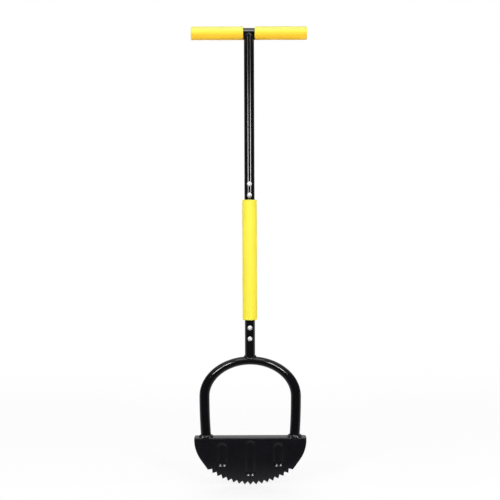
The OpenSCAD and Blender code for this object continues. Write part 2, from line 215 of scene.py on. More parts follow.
foam, tree = new_material("yellow_closed_cell_foam")
place = add_node(tree, "ShaderNodeTexCoord").outputs["Object"]
mottle = add_node(tree, "ShaderNodeTexNoise",
                  values={"Scale": PER_METRE / MOTTLE_MM, "Detail": 5.0}, links={"Vector": place})
cells = add_node(tree, "ShaderNodeTexVoronoi", values={"Scale": PER_METRE / CELL_MM},
                 links={"Vector": place})
dyed = add_node(tree, "ShaderNodeMix", COLOURS,
                {"A": linear(DYED), "B": linear(DYED_PALER)}, {"Factor": mottle.outputs["Fac"]})
# The shade attribute sets how much painted top light or painted shade goes into the colour.
stored = add_node(tree, "ShaderNodeAttribute", {"attribute_name": "shade"})
top_light_to_dye = add_node(tree, "ShaderNodeMapRange", values={"From Min": 0.0, "From Max": BASE},
                    links={"Value": stored.outputs["Fac"]})
top_lit_yellow = add_node(tree, "ShaderNodeMix", COLOURS, {"A": linear(PAINTED_TOP_LIGHT)},
                    {"Factor": top_light_to_dye.outputs["Result"], "B": dyed.outputs["Result"]})
under = add_node(tree, "ShaderNodeMapRange", values={"From Min": BASE, "From Max": 1.0},
                 links={"Value": stored.outputs["Fac"]})
lit_and_shaded_yellow = add_node(tree, "ShaderNodeMix", COLOURS, {"B": linear(PAINTED_UNDER_SHADE)},
                 {"Factor": under.outputs["Result"], "A": top_lit_yellow.outputs["Result"]})
skin = add_node(tree, "ShaderNodeMapRange", SMOOTH,
                {"From Max": PIT_SHARE}, {"Value": cells.outputs["Distance"]})
# Each pit also darkens the colour: painted shade inside the pit.
pits = add_node(tree, "ShaderNodeMapRange", values={"To Min": PIT_SHADE},
                links={"Value": skin.outputs["Result"]})
shaded = add_node(tree, "ShaderNodeMix", {"data_type": "RGBA", "blend_type": "MULTIPLY"},
                  {"Factor": 1.0}, {"A": lit_and_shaded_yellow.outputs["Result"], "B": pits.outputs["Result"]})
pitted = add_node(tree, "ShaderNodeBump",
                  values={"Strength": PIT_STRENGTH, "Distance": PIT_DEPTH},
                  links={"Height": skin.outputs["Result"]})
shader = add_node(tree, "ShaderNodeBsdfPrincipled",
                  values={"Roughness": 0.45, "IOR": 1.45, "Specular IOR Level": 0.4,
                          "Sheen Weight": 0.08, "Sheen Roughness": 0.5},
                  links={"Base Color": shaded.outputs["Result"],
                         "Normal": pitted.outputs["Normal"]})
add_node(tree, "ShaderNodeOutputMaterial", links={"Surface": shader.outputs["BSDF"]})
print("made", foam.name)

# %% [markdown]
# ## Small parts
# The screws and nuts are zinc plated. A thin milky film lies over the bright plate, so it looks
# almost white, a little cloudy, and less like a mirror than bare metal does. Its grain is too fine
# to see, so a noise of 2 mm in the roughness stands for the cloudiness. The ring inside each lock
# nut is milky nylon, and the end plugs are moulded polyethylene, a dull black with the faint
# texture of a sandblasted mould. The three differ only in their numbers, so one function makes
# them.

# %% Zinc, nylon and polyethylene
CLOUD_MM = 2.0
GRAIN_DEPTH = 0.0002


def small_part(name, darker, paler, metallic, smooth, rough, grain):
    """Finish of a small part: one noise varies colour and roughness and gives a slight grain."""
    material, tree = new_material(name)
    place = add_node(tree, "ShaderNodeTexCoord").outputs["Object"]
    cloud = add_node(tree, "ShaderNodeTexNoise",
                     values={"Scale": PER_METRE / CLOUD_MM, "Detail": 3.0},
                     links={"Vector": place})
    colour = add_node(tree, "ShaderNodeMix", COLOURS,
                      {"A": linear(darker), "B": linear(paler)}, {"Factor": cloud.outputs["Fac"]})
    gloss = add_node(tree, "ShaderNodeMapRange", values={"To Min": smooth, "To Max": rough},
                     links={"Value": cloud.outputs["Fac"]})
    bump = add_node(tree, "ShaderNodeBump", values={"Strength": grain, "Distance": GRAIN_DEPTH},
                    links={"Height": cloud.outputs["Fac"]})
    shader = add_node(tree, "ShaderNodeBsdfPrincipled", values={"Metallic": metallic},
                      links={"Base Color": colour.outputs["Result"],
                             "Roughness": gloss.outputs["Result"],
                             "Normal": bump.outputs["Normal"]})
    add_node(tree, "ShaderNodeOutputMaterial", links={"Surface": shader.outputs["BSDF"]})
    return material


zinc = small_part("bright_zinc_plate", "#eef0f1", "#f8f8f7", 0.8, 0.5, 0.66, 0.06)
nylon = small_part("milky_nylon", "#dfe3e6", "#eceff0", 0.0, 0.35, 0.5, 0.05)
polyethylene = small_part("black_polyethylene", "#131316", "#1c1c1f", 0.0, 0.45, 0.6, 0.25)
print("made", zinc.name, nylon.name, polyethylene.name)

# %% [markdown]
# The straight tubes, the screws and the plugs already have the right shape in the CAD model, with
# smooth normals. New meshes would add nothing to them, so they stay, and only their material
# changes. The foam, the bent fork, the welds and the blade get new surfaces.

# %% Finishes for the CAD pieces that stay
kept = {
    "t_bar": tube_coat, "upper_tube": tube_coat, "middle_tube": tube_coat, "fork_stem": tube_coat,
    "left_end_plug": polyethylene, "right_end_plug": polyethylene,
    "upper_joint_bolts": zinc, "lower_joint_bolts": zinc,
    "upper_joint_nuts": zinc, "lower_joint_nuts": zinc,
    "upper_nut_rings": nylon, "lower_nut_rings": nylon,
}
for name, material in kept.items():
    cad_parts[name].material_slots[0].material = material
print("new finish on", len(kept), "CAD pieces")

# %% [markdown]
# ## From a grid of points to a piece
# The new pieces could be modelled by hand with extrude and spin, but a changed size would mean the
# same work again. Here each piece is a surface with two parameters. Numpy works out all its points
# at once as a grid, with rows and columns, and neighbouring points become four-sided faces. Where a
# direction closes on itself, as round a tube, its last line joins the first. A closed skin holds a
# volume, and a negative one tells that the faces look inwards, so they are turned. Sizes are in
# millimetres up to this point, and the mesh is in metres.

# %% Helpers for surfaces
MM = 0.001
TURN = 2 * math.pi


def grid_faces(rows, columns, wrap_rows=False, wrap_columns=False):
    """Faces between the neighbours of a grid.

    A wrapped direction joins its last line of points to its first.
    """
    r = np.arange(rows if wrap_rows else rows - 1)[:, None]
    c = np.arange(columns if wrap_columns else columns - 1)[None, :]
    r_next, c_next = (r + 1) % rows, (c + 1) % columns
    corners = (r * columns + c, r * columns + c_next,
               r_next * columns + c_next, r_next * columns + c)
    return np.stack(np.broadcast_arrays(*corners), axis=-1).reshape(-1, 4)


def enclosed_volume(points, faces):
    """Volume in a closed skin: a sixth of the summed triple products of its triangles' corners."""
    a, b, c, d = (points[faces[:, k]] for k in range(4))
    return (np.sum(a * np.cross(b, c)) + np.sum(a * np.cross(c, d))) / 6


def add_piece(name, points, faces, material, slot, *nodes):
    """Turns points in millimetres and four-sided faces into a smooth piece for CAD nodes."""
    points = np.asarray(points, float).reshape(-1, 3)
    if enclosed_volume(points, faces) < 0:
        faces = faces[:, ::-1]
    mesh = bpy.data.meshes.new(name)
    mesh.vertices.add(len(points))
    mesh.vertices.foreach_set("co", (points * MM).ravel())
    mesh.loops.add(faces.size)
    mesh.loops.foreach_set("vertex_index", faces.ravel().astype(np.int32))
    mesh.polygons.add(len(faces))
    mesh.polygons.foreach_set("loop_start", np.arange(0, faces.size, 4, dtype=np.int32))
    mesh.polygons.foreach_set("use_smooth", np.ones(len(faces), bool))
    mesh.update(calc_edges=True)
    mesh.validate()
    mesh.materials.append(material)
    piece = bpy.data.objects.new(name, mesh)
    bpy.context.scene.collection.objects.link(piece)
    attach(piece, "root")
    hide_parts(*nodes)
    volume = abs(enclosed_volume(points, faces)) / 1000
    print(name, "has", len(points), "points and", round(volume, 2), "cm3")
    return piece


print("a grid of 3 by 4 points has", len(grid_faces(3, 4)), "faces")

# %% [markdown]
# Where a CAD box tells enough, a new piece takes its place from it, so it follows the tube that
# carries it. Sizes that no box shows, such as the depth of a rib, are written down with their
# piece.

# %% Sizes from the CAD pieces
def box_mm(node):
    """Lowest and highest corner of a CAD piece in millimetres."""
    return [np.array(corner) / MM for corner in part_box(node)]


bar_low, bar_high = box_mm("t_bar")
z_bar = (bar_low[2] + bar_high[2]) / 2
tube_r = (bar_high[2] - bar_low[2]) / 2
print("cross tube at", round(z_bar, 1), "mm, tube radius", round(tube_r, 2), "mm")

# %% [markdown]
# ## Foam grips
# A foam sleeve is a tube with soft, rounded ends. A cylinder with bevelled ends would do from afar,
# but foam is never quite straight: slow waves of a fraction of a millimetre run over its skin, and
# it is dented a little all round. So its profile, from the bore over the rounded end to the outer
# skin and back, is turned round the axis, and the waves are added to its radius. Each one has a
# height and a length in millimetres.

# %% Foam sleeve
FOAM_GAP = 0.2
FOAM_EDGE = 1.8
LIP, LIP_DEPTH = 0.6, 0.5
RING_STEP = 1.6
ROUND_POINTS = 112
LONG_WAVE, LONG_MM = 0.09, 71
SHORT_WAVE, SHORT_MM = 0.05, 23
DENT, DENT_MM = 0.07, 140
SINK = 0.1


def foam_sleeve(length, out_r, phase):
    """Profile turned round +Z: bore, rounded ends and an outer radius that waves slowly.

    Returns radius, angle and height arrays: rows follow the closed profile, columns go round.
    """
    bore = tube_r + FOAM_GAP
    bend = np.linspace(0, math.pi / 2, 9)
    by_sine, by_cosine = FOAM_EDGE * (1 - np.sin(bend)), FOAM_EDGE * (1 - np.cos(bend))
    steps = int(length / RING_STEP)
    along = np.linspace(FOAM_EDGE, length - FOAM_EDGE, steps)[1:-1]
    radius = np.concatenate([[bore, bore + LIP], out_r - by_sine, np.full(steps - 2, out_r),
                             out_r - by_cosine, [bore + LIP, bore]])
    height = np.concatenate([[LIP_DEPTH, 0.0], by_cosine, along, length - by_sine,
                             [length, length - LIP_DEPTH]])
    angle = np.linspace(0, TURN, ROUND_POINTS, endpoint=False)
    r, a = np.meshgrid(radius, angle, indexing="ij")
    h = np.broadcast_to(height[:, None], r.shape)
    skin = np.clip((r - bore) / (out_r - bore), 0, 1) ** 2
    wave = (LONG_WAVE * np.sin(TURN * h / LONG_MM + phase + 0.6 * np.sin(a))
            + SHORT_WAVE * np.sin(TURN * h / SHORT_MM + 2 * a + 2 * phase))
    dent = DENT * np.sin(3 * a + TURN * h / DENT_MM + phase)
    return r + skin * (wave + dent - SINK), a, h


def store(piece, name, amount):
    """Stores one value from 0 to 1 on every point of a piece, for its material to read."""
    stored = piece.data.attributes.new(name, "FLOAT", "POINT")
    stored.data.foreach_set("value", np.asarray(amount, np.float32).ravel())
    return piece


print("foam sleeves are", ROUND_POINTS, "points round")

# %% [markdown]
# Two short sleeves sit on the cross tube and a long one on the middle tube. Under the cross tube,
# the weld presses each short sleeve back, so its inner end follows a circle round the handle there.
# Each sleeve also gets its painted light and shade: the short ones are painted paler on top, as
# light from above, and deeper yellow below, as shade, and the long one is painted a little deeper
# towards its two sides, as shade.

# %% Three grips
WELD_RELIEF = 14.0
PRESSED_MM = 14.0
# Lowest shade value on the short grips: their strongest painted top light.
MOST_TOP_LIGHT = 0.12


def bar_grip(name, side, node):
    """Foam on one arm: the sleeve's axis turned to X, its inner end pressed back below the bar.

    The shade value falls as the sine of the angle rises, so the top is painted paler, as light
    from above, and the underside is painted deeper, as shade.
    """
    low, high = box_mm(node)
    start = min(abs(low[0]), abs(high[0]))
    end = max(abs(low[0]), abs(high[0]))
    r, a, h = foam_sleeve(end - start, (high[2] - low[2]) / 2, 1.3 * side)
    y, z = r * np.cos(a), r * np.sin(a)
    relief = np.sqrt(np.maximum(WELD_RELIEF ** 2 - y ** 2, 0)) - start
    push = np.maximum(relief, 0) * np.clip(-z / tube_r, 0, 1) ** 0.5
    x = start + h + push * np.clip(1 - h / PRESSED_MM, 0, 1)
    points = np.stack([side * x, y, z_bar + z], axis=-1)
    piece = add_piece(name, points, grid_faces(*r.shape, True, True), foam, "yellow_foam", node)
    # Painted light on top and painted shade underneath.
    return store(piece, "shade", np.clip(BASE + 0.1 - 1.1 * np.sin(a), MOST_TOP_LIGHT, 1))


right_foam = bar_grip("foam_right", 1, "right_grip")
left_foam = bar_grip("foam_left", -1, "left_grip")
low, high = box_mm("middle_grip")
r, a, h = foam_sleeve(high[2] - low[2], (high[0] - low[0]) / 2, 0.4)
points = np.stack([r * np.cos(a), r * np.sin(a), low[2] + h], axis=-1)
middle_foam = add_piece("foam_middle", points, grid_faces(*r.shape, True, True), foam,
                        "yellow_foam", "middle_grip")
# Painted shade towards the two sides, with slightly paler painted light in front and behind.
store(middle_foam, "shade", BASE - 0.04 + 0.18 * np.clip(np.cos(a) / 0.6, -1, 1) ** 2)

# %% [markdown]
# ## Bent fork
# One length of tube is bent into an arch and welded to the step at both ends. On the real tool a
# bending die flattens the tube where it bends most, so the section changes from round at the legs
# to oval at the crown. Blender's curves can draw a bent tube, but they keep one shape of section.
# So an oval ring is carried along the centre line by formula, out along the skin and back along the
# bore, and the tube stays hollow. The centre line is half an ellipse on two legs that lean slightly
# inwards.

# %% Fork
FORK_HALF = 100.25
FOOT_HALF = 97.0
LEG_HEIGHT = 88.8
ARCH_RISE = 78.8
CROWN_T = 18.0
TUBE_WALL = 1.2
LEG_SHARE = 0.3
ARCH_SHARE = 1 - LEG_SHARE
z_step = box_mm("blade")[1][2]
z_spring = z_step + LEG_HEIGHT


def fork_path(t):
    """Centre line for t from -1, the left foot, to 1, the right foot, and the section's height.

    Legs curve in by a parabola. The arch is half an ellipse, flatter by the squared cosine.
    """
    leg = np.clip((1 - np.abs(t)) / LEG_SHARE, 0, 1)
    turn = np.clip(np.abs(t) / ARCH_SHARE, 0, 1) * math.pi / 2
    on_leg = np.abs(t) > ARCH_SHARE
    leg_x = FOOT_HALF + (FORK_HALF - FOOT_HALF) * (1 - (1 - leg) ** 2)
    x = np.where(on_leg, leg_x, FORK_HALF * np.sin(turn)) * np.sign(t)
    z = np.where(on_leg, z_step + LEG_HEIGHT * leg, z_spring + ARCH_RISE * np.cos(turn))
    flattened = 2 * tube_r - (2 * tube_r - CROWN_T) * np.cos(turn) ** 2
    return x, z, np.where(on_leg, 2 * tube_r, flattened)


t = np.concatenate([np.linspace(-1, -ARCH_SHARE, 25)[:-1],
                    np.linspace(-ARCH_SHARE, ARCH_SHARE, 161),
                    np.linspace(ARCH_SHARE, 1, 25)[1:]])
x, z, flat = fork_path(t)
way = np.stack([np.gradient(x), np.gradient(z)], axis=-1)
way /= np.linalg.norm(way, axis=1, keepdims=True)
way[[0, -1]] = [[0, 1], [0, -1]]
outward = np.stack([-way[:, 1], way[:, 0]], axis=-1)
b = np.linspace(0, TURN, 72, endpoint=False)


def fork_skin(grow):
    """Oval ring at every station, grown or shrunk evenly: high across the bend, wide along Y."""
    e = (flat[:, None] / 2 + grow) * np.cos(b)
    f = (2 * tube_r - flat[:, None] / 2 + grow) * np.sin(b)
    return np.stack([x[:, None] + outward[:, :1] * e, f, z[:, None] + outward[:, 1:] * e], axis=-1)


points = np.concatenate([fork_skin(0.0), fork_skin(-TUBE_WALL)[::-1]])
add_piece("bent_fork", points, grid_faces(len(points), len(b), True, True), tube_coat,
          "black_coat", "fork_tube")

# %% [markdown]
# ## Weld beads
# The tubes are joined by hand welding. The welder's torch steps along the joint, and each step
# leaves a crescent, so a bead looks like a row of overlapping scales. A plain torus would look
# cast. Here a circle is carried round the joint's saddle line, and its radius rises and falls in a
# slanted saw that gives the scales. Real scales are about 1.5 mm apart, and here they are 2.6 mm,
# so that they show.

# %% Beads round the T joint and the crown
BEAD_R = 2.2
BEAD_OFFSET = 0.6
EAR_ROUND = 3.3
SCALE_MM = 2.6
SCALE_RISE = 0.07
SLANT = 0.35
UNSTEADY = 0.12
SWELL = 0.15


def bead(height_at, name, node):
    """Circle carried round the handle's axis at a height for each angle, with crescent scales."""
    path_r = tube_r + BEAD_OFFSET
    a = np.linspace(0, TURN, 361)[:-1]
    x, y = path_r * np.cos(a), path_r * np.sin(a)
    line = np.stack([x, y, height_at(x, y)], -1)
    way = np.roll(line, -1, 0) - np.roll(line, 1, 0)
    length = np.linalg.norm(np.roll(line, -1, 0) - line, axis=1)
    s = np.concatenate([[0], np.cumsum(length)[:-1]])
    scales = round(length.sum() / SCALE_MM)
    way /= np.linalg.norm(way, axis=1, keepdims=True)
    out = np.stack([np.cos(a), np.sin(a), np.zeros_like(a)], -1)
    across = np.cross(way, out)
    b = np.linspace(0, TURN, 28, endpoint=False)
    beat = (scales * s[:, None] / length.sum() - SLANT * np.sin(b) ** 2
            + UNSTEADY * np.sin(7 * a)[:, None])
    saw = beat - np.floor(beat)
    swell = (BEAD_R * (1 + SCALE_RISE * (np.sin(math.pi * saw ** 0.6) - 0.6))
             + SWELL * np.sin(3 * a + 1)[:, None])
    circle = np.cos(b)[:, None] * out[:, None] + np.sin(b)[:, None] * across[:, None]
    points = line[:, None] + swell[..., None] * circle
    return add_piece(name, points, grid_faces(len(a), len(b), True, True), weld_coat,
                     "black_coat", node)


def t_joint_height(x, y):
    """The saddle of two equal tubes, with rounded ears at the front and the back."""
    return z_bar - np.hypot(x, EAR_ROUND)


def crown_height(x, y):
    """Top of the arch's oval section at a place in plan, plus the bead's offset."""
    z_line = z_spring + ARCH_RISE * np.sqrt(1 - (x / FORK_HALF) ** 2)
    half_y = 2 * tube_r - CROWN_T / 2
    return z_line + CROWN_T / 2 * np.sqrt(np.maximum(1 - (y / half_y) ** 2, 0)) + BEAD_OFFSET


bead(t_joint_height, "t_joint_bead", "handle_weld")
bead(crown_height, "crown_bead", "crown_weld")

# %% [markdown]
# The feet of the fork stand on the step. Round each foot runs a thick fillet, higher than wide
# where the welder lingered. A bevel between tube and step would be too even for that, so a bulging
# section goes round the leg, and two slow waves change its width and height. Its inner rim lies on
# the tube, its outer rim on the step, and where the step ends at the front and the back the rim is
# cut short and follows the round of the fold.

# %% Fillets at the feet
FILLET = 5.5
STEP_HALF = 15.0
FOLD_OUT_R = 3.5
FOOT_SCALES = 24
BULGE = 0.6
BITE = 0.3
SUNK = 0.15
INSIDE = 1.0


def foot_fillet(name, side, node):
    """Ring of bulging sections round a leg: from the tube's skin to the step, with scales."""
    a = np.linspace(0, TURN, 240, endpoint=False)[:, None]
    u = np.linspace(0, 1, 22)[None, :]
    reach = tube_r + FILLET * (1 + 0.12 * np.sin(5 * a + side) + 0.06 * np.sin(11 * a))
    rim = np.minimum(reach, (STEP_HALF - BITE) / np.maximum(np.abs(np.sin(a)), 1e-3))
    top = FILLET * (1 + 0.14 * np.sin(4 * a + 2 * side) + 0.07 * np.sin(9 * a))
    beat = FOOT_SCALES * a / TURN + 0.6 * (2 * u - 1) ** 2
    saw = beat - np.floor(beat)
    bulge = (1.0 + 0.28 * np.sin(math.pi * saw ** 0.6)) * np.sin(math.pi * u)
    r = tube_r - BITE + (rim - tube_r + BITE) * u + bulge * BULGE
    y = r * np.sin(a)
    dip = np.maximum(-STEP_HALF + FOLD_OUT_R - y, 0)
    ground = z_step - FOLD_OUT_R + np.sqrt(np.maximum(FOLD_OUT_R ** 2 - dip ** 2, 0)) - SUNK
    z = ground + top * (1 - u) + bulge * BULGE
    lean = (FORK_HALF - FOOT_HALF) / LEG_HEIGHT * 2 * (z - z_step)
    skin = np.stack([side * (FOOT_HALF + lean + r * np.cos(a)), y, z], axis=-1)
    inner_r = tube_r - INSIDE
    inner = np.stack([side * (FOOT_HALF + inner_r * np.cos(a)), inner_r * np.sin(a),
                      np.full_like(a, z_step - SUNK)], axis=-1)
    points = np.concatenate([skin, inner], axis=1)
    return add_piece(name, points, grid_faces(*points.shape[:2], True, True), weld_coat,
                     "black_coat", node)


foot_fillet("right_foot_fillet", 1, "right_leg_weld")
foot_fillet("left_foot_fillet", -1, "left_leg_weld")

# %% [markdown]
# ## Blade
# The blade is a flat blank, cut with teeth along its round edge, pressed with three ribs and folded
# at the top into a step for the foot. The script follows the same order. It lays out the blank as a
# grid in its own plane, with columns from the back of the step to the toothed edge, and then a bend
# formula carries every point into space. Solidify and Bevel modifiers could thicken a flat outline
# and round it, but on sharp teeth their new edges cross. So the two faces are the same grid at plus
# and minus half the thickness, and a rounded rim joins them.

# %% Outline of the blank
BLADE_W = 245.0
NOTCHES = 16
NOTCH_DEPTH = 7.0
TIP_INSET = 29.7
TIP_RISE = 33.3
SIDE_SHARE = 0.77
SIDE_START = math.radians(2)
SIDE_POINTS, FLANK_POINTS, TOOTH_POINTS = 22, 9, 12
arc_z = z_step - FOLD_OUT_R
half_w = BLADE_W / 2
tip_half = half_w - TIP_INSET
edge_r = (tip_half ** 2 + TIP_RISE ** 2) / (2 * TIP_RISE)
root_r = edge_r - NOTCH_DEPTH
edge_a = math.asin(tip_half / edge_r)
side_r = SIDE_SHARE * arc_z
side_x = half_w - side_r
flank = (side_r - TIP_INSET, arc_z - TIP_RISE)
flank_a = math.atan2(flank[1], flank[0]) - math.acos(side_r / math.hypot(*flank))


def blank_edge():
    """Lower edge from left to right: side arc, straight flank, saw teeth, flank and side arc.

    Tips lie on one circle and roots on a smaller one, and straight lines join them.
    """
    swing = np.linspace(SIDE_START, flank_a, SIDE_POINTS)
    arc = np.stack([side_x + side_r * np.cos(swing), arc_z - side_r * np.sin(swing)], -1)
    straight = np.linspace(arc[-1], (tip_half, TIP_RISE), FLANK_POINTS)[1:-1]
    side = np.concatenate([arc, straight])
    b = np.linspace(-edge_a, edge_a, NOTCHES * TOOTH_POINTS + 1)
    share = np.abs((np.arange(len(b)) / TOOTH_POINTS + 0.5) % 1 - 0.5) * 2
    whole = np.round((b + edge_a) / (2 * edge_a) * NOTCHES)
    tooth_a = whole / NOTCHES * 2 * edge_a - edge_a
    root_a = tooth_a + edge_a / NOTCHES * np.where(b >= tooth_a, 1, -1)
    tips = edge_r * np.stack([np.sin(tooth_a), -np.cos(tooth_a)], -1)
    roots = root_r * np.stack([np.sin(root_a), -np.cos(root_a)], -1)
    teeth = tips + (roots - tips) * share[:, None] + [0, edge_r]
    return np.concatenate([side * [-1, 1], teeth, side[::-1]])


edge = blank_edge()
print(len(edge), "points along the edge, lowest at", round(edge[:, 1].min(), 2), "mm")

# %% [markdown]
# The ribs stiffen the sheet. A press pushes each one towards the back as a long dimple with round
# ends. They could be sculpted, but a formula keeps all three alike: the depth depends only on the
# distance from the rib's middle line, and falls off smoothly to nothing at the shoulder. Each rib
# has a place across, a drop below the step and a gap to the notches.

# %% Ribs
RIB_PITCH = 61.0
RIB_DEPTH = 3.0
RIB_HALF = 12.0
CAD_RIB_HALF = 11.0
RIBS = ((-RIB_PITCH, 10.3, 14.0), (0.0, 5.3, 10.7), (RIB_PITCH, 10.3, 14.0))


def rib_depth(x, z):
    """Depth of the dimples: a smooth bell over the distance from each rib's straight middle."""
    depth = np.zeros_like(x)
    for at, drop, gap in RIBS:
        low = edge_r - math.sqrt((root_r - gap - CAD_RIB_HALF) ** 2 - at ** 2)
        high = z_step - drop - CAD_RIB_HALF
        past = np.maximum(np.maximum(low - z, z - high), 0)
        q = np.clip(np.hypot(x - at, past) / RIB_HALF, 0, 1)
        depth += RIB_DEPTH * (1 - q ** 4) ** 2
    return depth


print(len(RIBS), "ribs,", RIB_DEPTH, "mm deep")

# %% [markdown]
# A modifier such as Simple Deform bends a whole mesh, but here only one strip bends. The bend
# formula takes a place on the blank, x across and v down from the back of the step, and a height n
# above the middle of the sheet. Flat stretches stay flat, and the fold turns its strip through a
# quarter circle. The step's back corners are rounded.

# %% Fold the blank
SHEET_T = 2.5
FOLD_R = 1.0
STEP_CORNER = 6.0
MID_R = FOLD_R + SHEET_T / 2
STEP_FLAT = 2 * STEP_HALF - FOLD_OUT_R
FOLD_STRIP = MID_R * math.pi / 2
fold_end = STEP_FLAT + FOLD_STRIP


def folded(x, v, n):
    """Blank to space: the step runs forwards, the fold turns down, and the ribbed blade hangs."""
    turn = np.clip((v - STEP_FLAT) / MID_R, 0, math.pi / 2)
    drop = np.maximum(v - STEP_FLAT - FOLD_STRIP, 0)
    y = STEP_HALF - np.minimum(v, STEP_FLAT) - (MID_R + n) * np.sin(turn)
    z = arc_z - drop + (MID_R + n) * np.cos(turn)
    return np.stack([x, y + np.where(drop > 0, rib_depth(x, z), 0), z], axis=-1)


def turned_corner(x):
    """How far the step's back corners are cut back: the rise of a quarter circle at each end."""
    past = np.clip(np.abs(x) - (half_w - STEP_CORNER), 0, STEP_CORNER)
    return STEP_CORNER - np.sqrt(STEP_CORNER ** 2 - past ** 2)


print("the step takes", STEP_FLAT, "mm of the blank, the fold", round(FOLD_STRIP, 2), "mm")

# %% [markdown]
# The inner grid stops short of the outline by the radius of the rim. Each outline point moves
# inwards along the mitre of its two neighbours, so the teeth keep their points. Upright columns
# join the step's back edge to the toothed edge.

# %% Inset outline
EDGE_ROUND = 0.45
HAIR = 1e-3


def mitres(loop):
    """Outward mitre of each point of a closed loop.

    It is the sum of the normals of the point's two sides, over one plus their cosine.
    """
    ahead = np.roll(loop, -1, 0) - loop
    ahead /= np.maximum(np.linalg.norm(ahead, axis=1, keepdims=True), 1e-9)
    normal = np.stack([ahead[:, 1], -ahead[:, 0]], -1)
    before = np.roll(normal, 1, 0)
    return (normal + before) / np.maximum(1 + np.sum(normal * before, 1, keepdims=True), 0.35)


blank = np.stack([edge[:, 0], fold_end + arc_z - edge[:, 1]], -1)
top_x = np.clip(edge[:, 0], -half_w + HAIR, half_w - HAIR)
loop = np.concatenate([blank, np.stack([top_x, turned_corner(top_x)], -1)[::-1]])
inset = loop + EDGE_ROUND * mitres(loop)
low_edge, top_edge = inset[:len(edge)], inset[len(edge):][::-1]
print("outline of", len(loop), "points")

# %% [markdown]
# Rows share out each column's length. They run evenly over the step, the fold and the ribs, down to
# a smooth line just above the notches, and only the last rows follow the teeth. If all rows bent
# with the teeth, cells beside the notches would fold over.

# %% Rows of the grid
TOOTH_BAND = 3.0
STEP_ROWS, FOLD_ROWS, RIB_ROWS, TOOTH_ROWS = 16, 9, 64, 16

u = np.linspace(0, 1, STEP_ROWS)[None, :-1]
v_step = top_edge[:, 1:] + (STEP_FLAT - top_edge[:, 1:]) * u
v_fold = STEP_FLAT + FOLD_STRIP * np.linspace(0, 1, FOLD_ROWS)[:-1]
v_fold = np.broadcast_to(v_fold, (len(edge), FOLD_ROWS - 1))
toothed_x = np.clip(edge[:, 0], -tip_half, tip_half)
above_teeth = fold_end + arc_z - edge_r + np.sqrt((root_r - TOOTH_BAND) ** 2 - toothed_x ** 2)
side_share = (above_teeth[0] - fold_end) / (arc_z - TIP_RISE)
above_side = fold_end + (low_edge[:, 1] - fold_end) * side_share
toothed = np.abs(edge[:, 0]) < tip_half + 1e-6
v_soft = np.where(toothed, above_teeth, above_side)[:, None]
w = np.linspace(0, 1, RIB_ROWS)[None, :-1]
v_ribs = fold_end + (v_soft - fold_end) * w
v_teeth = v_soft + (low_edge[:, 1:] - v_soft) * np.linspace(0, 1, TOOTH_ROWS)
sheet_v = np.concatenate([v_step, v_fold, v_ribs, v_teeth], axis=1)
slide = np.concatenate([np.zeros(STEP_ROWS + FOLD_ROWS - 2), w[0] ** 2 * (3 - 2 * w[0]),
                        np.ones(TOOTH_ROWS)])
sheet_x = top_edge[:, :1] + (low_edge[:, :1] - top_edge[:, :1]) * slide
columns, rows = sheet_x.shape
print("blank grid", columns, "by", rows)

# %% [markdown]
# The rim closes the sheet. The grid's own border is carried outwards round the rim's radius, in
# steps from the front face to the back face, and faces join these lines to both grids.

# %% Rim and both faces
index = np.arange(columns * rows).reshape(columns, rows)
border = np.concatenate([index[:, 0], index[-1, 1:], index[-2::-1, -1], index[0, -2:0:-1]])
flat_xv = np.stack([sheet_x.ravel(), sheet_v.ravel()], -1)
ring = flat_xv[border]
arc = np.linspace(0, math.pi / 2, 5)[1:]
grow = EDGE_ROUND * np.concatenate([np.sin(arc), np.sin(arc)[::-1]])
rise = SHEET_T / 2 - EDGE_ROUND * (1 - np.cos(arc))
rise = np.concatenate([rise, -rise[::-1]])
rim = ring[None] + grow[:, None, None] * mitres(ring)[None]
front = folded(flat_xv[:, 0], flat_xv[:, 1], SHEET_T / 2)
back = folded(flat_xv[:, 0], flat_xv[:, 1], -SHEET_T / 2)
rim_points = folded(rim[..., 0], rim[..., 1], rise[:, None])
points = np.concatenate([front, back, rim_points.reshape(-1, 3)])
rim_index = 2 * columns * rows + np.arange(rim_points[..., 0].size).reshape(-1, len(border))
lines = np.concatenate([border[None], rim_index, border[None] + columns * rows])
face_front = grid_faces(columns, rows)
strip = grid_faces(*lines.shape, False, True)
faces = np.concatenate([face_front, face_front[:, ::-1] + columns * rows, lines.ravel()[strip]])
blade = add_piece("toothed_blade", points, faces, sheet_coat, "black_coat", "blade")

# %% [markdown]
# The blade's cut edge gets the wear that its coat can show: all of the rim, and on both faces a
# scraped band along the teeth that fades over two millimetres, because soil grinds there. A shader
# can guess at edges from the bend of a mesh, but here the distance to the edge is known, so the
# wear is stored with the points.

# %% Wear along the cut edge
SCRAPED_BAND = 2.0
FACE_WEAR = 0.6
to_edge = low_edge[:, 1:] - sheet_v
face_wear = FACE_WEAR * np.exp(-to_edge / SCRAPED_BAND).ravel()
face_wear[border] = np.maximum(face_wear[border], FACE_WEAR)
store(blade, "wear", np.concatenate([face_wear, face_wear, np.ones(rim_index.size)]))
print("worn share of the faces", round(float(np.mean(face_wear > 0.2)), 3))

# %% [markdown]
# ## Floor, room and lamps
# The photograph shows the tool against plain white. A white plane under strong lamps would look so
# too, but that much light would wash out the tool. So the floor is a large plane of pale paper, and
# the camera sees it as nearly white. Close to the tool a quarter of that is plain matt paper, which
# keeps the shadow, and further away all of it is an even glow. Gloss black shows whatever surrounds
# it, so mirror rays see something else: a backdrop at half strength behind and above the tool, and
# a dim front, as in a studio where only the backdrop is lit. That keeps the black looking black,
# with a soft light along its outlines.

# %% Floor
FLOOR_SIZE = 12.0

